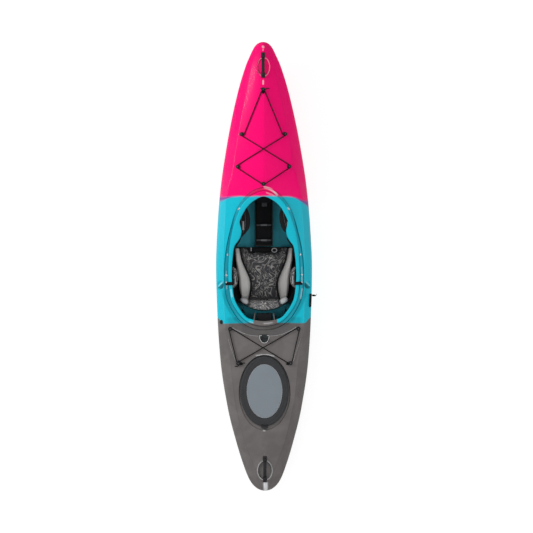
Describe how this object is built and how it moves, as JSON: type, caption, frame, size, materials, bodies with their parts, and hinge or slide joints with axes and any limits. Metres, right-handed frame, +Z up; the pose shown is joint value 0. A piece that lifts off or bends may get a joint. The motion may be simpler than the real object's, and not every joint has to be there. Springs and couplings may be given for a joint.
{
  "type": "crossover kayak",
  "caption": "Rotomoulded crossover kayak with a keyhole cockpit, padded seat and backband, thigh and foot braces, oval stern hatch, deck cords, carry grips and a drop skeg.",
  "frame": {"origin": "on the flat of the hull's bottom, on the centre line, halfway along the boat", "axes": "+Z up, +Y towards the bow, +X to starboard"},
  "size_m": [0.6555, 2.918, 0.3741],
  "materials": {
    "moulded_hull": "satin gloss",
    "black_rubber": "matt",
    "hatch_panel": "satin",
    "black_plastic": "satin",
    "elastic_cord": "woven",
    "light_cord": "woven",
    "webbing": "woven",
    "steel": "brushed",
    "black_foam": "closed-cell foam",
    "printed_cloth": "printed knit",
    "grey_cloth": "knit",
    "light_plastic": "satin"
  },
  "bodies": {
    "hull": {"hull_shell": "moulded_hull", "skeg_box": "moulded_hull", "bow_handle_grip": "black_rubber", "bow_handle_block_front": "black_rubber", "bow_handle_block_rear": "black_rubber", "stern_handle_grip": "black_rubber", "stern_handle_block_front": "black_rubber", "stern_handle_block_rear": "black_rubber", "bow_eye_top": "black_plastic", "bow_eye_upper_port": "black_plastic", "bow_eye_upper_starboard": "black_plastic", "bow_eye_lower_port": "black_plastic", "bow_eye_lower_starboard": "black_plastic", "bow_eye_bottom": "black_plastic", "stern_eye_front_port": "black_plastic", "stern_eye_front_starboard": "black_plastic", "stern_eye_rear_port": "black_plastic", "stern_eye_rear_starboard": "black_plastic", "skeg_line_tube": "black_plastic", "skeg_cleat": "black_plastic", "seat_pan": "black_plastic", "foot_rail_port": "black_plastic", "foot_rail_starboard": "black_plastic", "pillar_tray": "black_plastic", "bow_deck_cord": "elastic_cord", "stern_deck_cord": "elastic_cord", "coaming_strap_port": "webbing", "coaming_strap_starboard": "webbing", "leg_lifter_strap": "webbing", "security_bar": "steel", "skeg_pin": "steel", "thigh_brace_bolt_port": "steel", "thigh_brace_bolt_starboard": "steel", "bow_pillar": "black_foam", "stern_pillar": "black_foam", "rear_bulkhead": "black_foam", "seat_cushion_centre": "printed_cloth", "hip_pad_port": "printed_cloth", "hip_pad_starboard": "printed_cloth", "seat_bolster_port": "grey_cloth", "seat_bolster_starboard": "grey_cloth", "hip_pad_buckle_port": "light_plastic", "hip_pad_buckle_starboard": "light_plastic"},
    "hatch": {"hatch_lid": "black_rubber", "hatch_panel": "hatch_panel"},
    "skeg": {"skeg_blade": "black_plastic"},
    "skeg_pull": {"skeg_toggle": "black_plastic", "skeg_toggle_cord": "light_cord"},
    "backband": {"backband_shell": "black_plastic", "backband_pad_centre": "printed_cloth", "backband_wedge_port": "grey_cloth", "backband_wedge_starboard": "grey_cloth"},
    "thigh_brace_port": {"thigh_brace_port": "black_foam", "thigh_brace_plate_port": "light_plastic"},
    "thigh_brace_starboard": {"thigh_brace_starboard": "black_foam", "thigh_brace_plate_starboard": "light_plastic"},
    "foot_pedal_port": {"foot_pedal_port": "black_plastic"},
    "foot_pedal_starboard": {"foot_pedal_starboard": "black_plastic"},
    "drain_plug": {"drain_plug": "black_plastic"}
  },
  "joints": [
    {"name": "hatch_lift", "type": "slide", "parent": "hull", "child": "hatch", "axis": [0, 0, 1], "range_m": [0, 0.08]},
    {"name": "skeg_hinge", "type": "hinge", "parent": "hull", "child": "skeg", "pos_m": [0, -0.985, 0.06], "axis": [1, 0, 0], "range_deg": [0, 60]},
    {"name": "skeg_pull", "type": "slide", "parent": "hull", "child": "skeg_pull", "axis": [0.8339, -0.0502, 0.5495], "range_m": [0, 0.045]},
    {"name": "backband_tilt", "type": "hinge", "parent": "hull", "child": "backband", "pos_m": [0, -0.15, 0.13], "axis": [1, 0, 0], "range_deg": [-30, 4]},
    {"name": "thigh_brace_port_turn", "type": "hinge", "parent": "hull", "child": "thigh_brace_port", "pos_m": [-0.164, 0.372, 0.26], "axis": [0, 0, 1], "range_deg": [-12, 0]},
    {"name": "thigh_brace_starboard_turn", "type": "hinge", "parent": "hull", "child": "thigh_brace_starboard", "pos_m": [0.164, 0.372, 0.26], "axis": [0, 0, 1], "range_deg": [-12, 0]},
    {"name": "foot_pedal_port_slide", "type": "slide", "parent": "hull", "child": "foot_pedal_port", "axis": [0.1472, 0.9891, 0], "range_m": [-0.16, 0.16]},
    {"name": "foot_pedal_starboard_slide", "type": "slide", "parent": "hull", "child": "foot_pedal_starboard", "axis": [-0.1472, 0.9891, 0], "range_m": [-0.16, 0.16]},
    {"name": "drain_plug_turn", "type": "hinge", "parent": "hull", "child": "drain_plug", "pos_m": [-0.278, -0.36, 0.21947], "axis": [-0.749, -0.0843, 0.6572], "range_deg": [0, 720]}
  ],
  "couplings": [
    {"joint": "skeg_pull", "follows": "skeg_hinge", "m_per_rad": 0.0429}
  ]
}
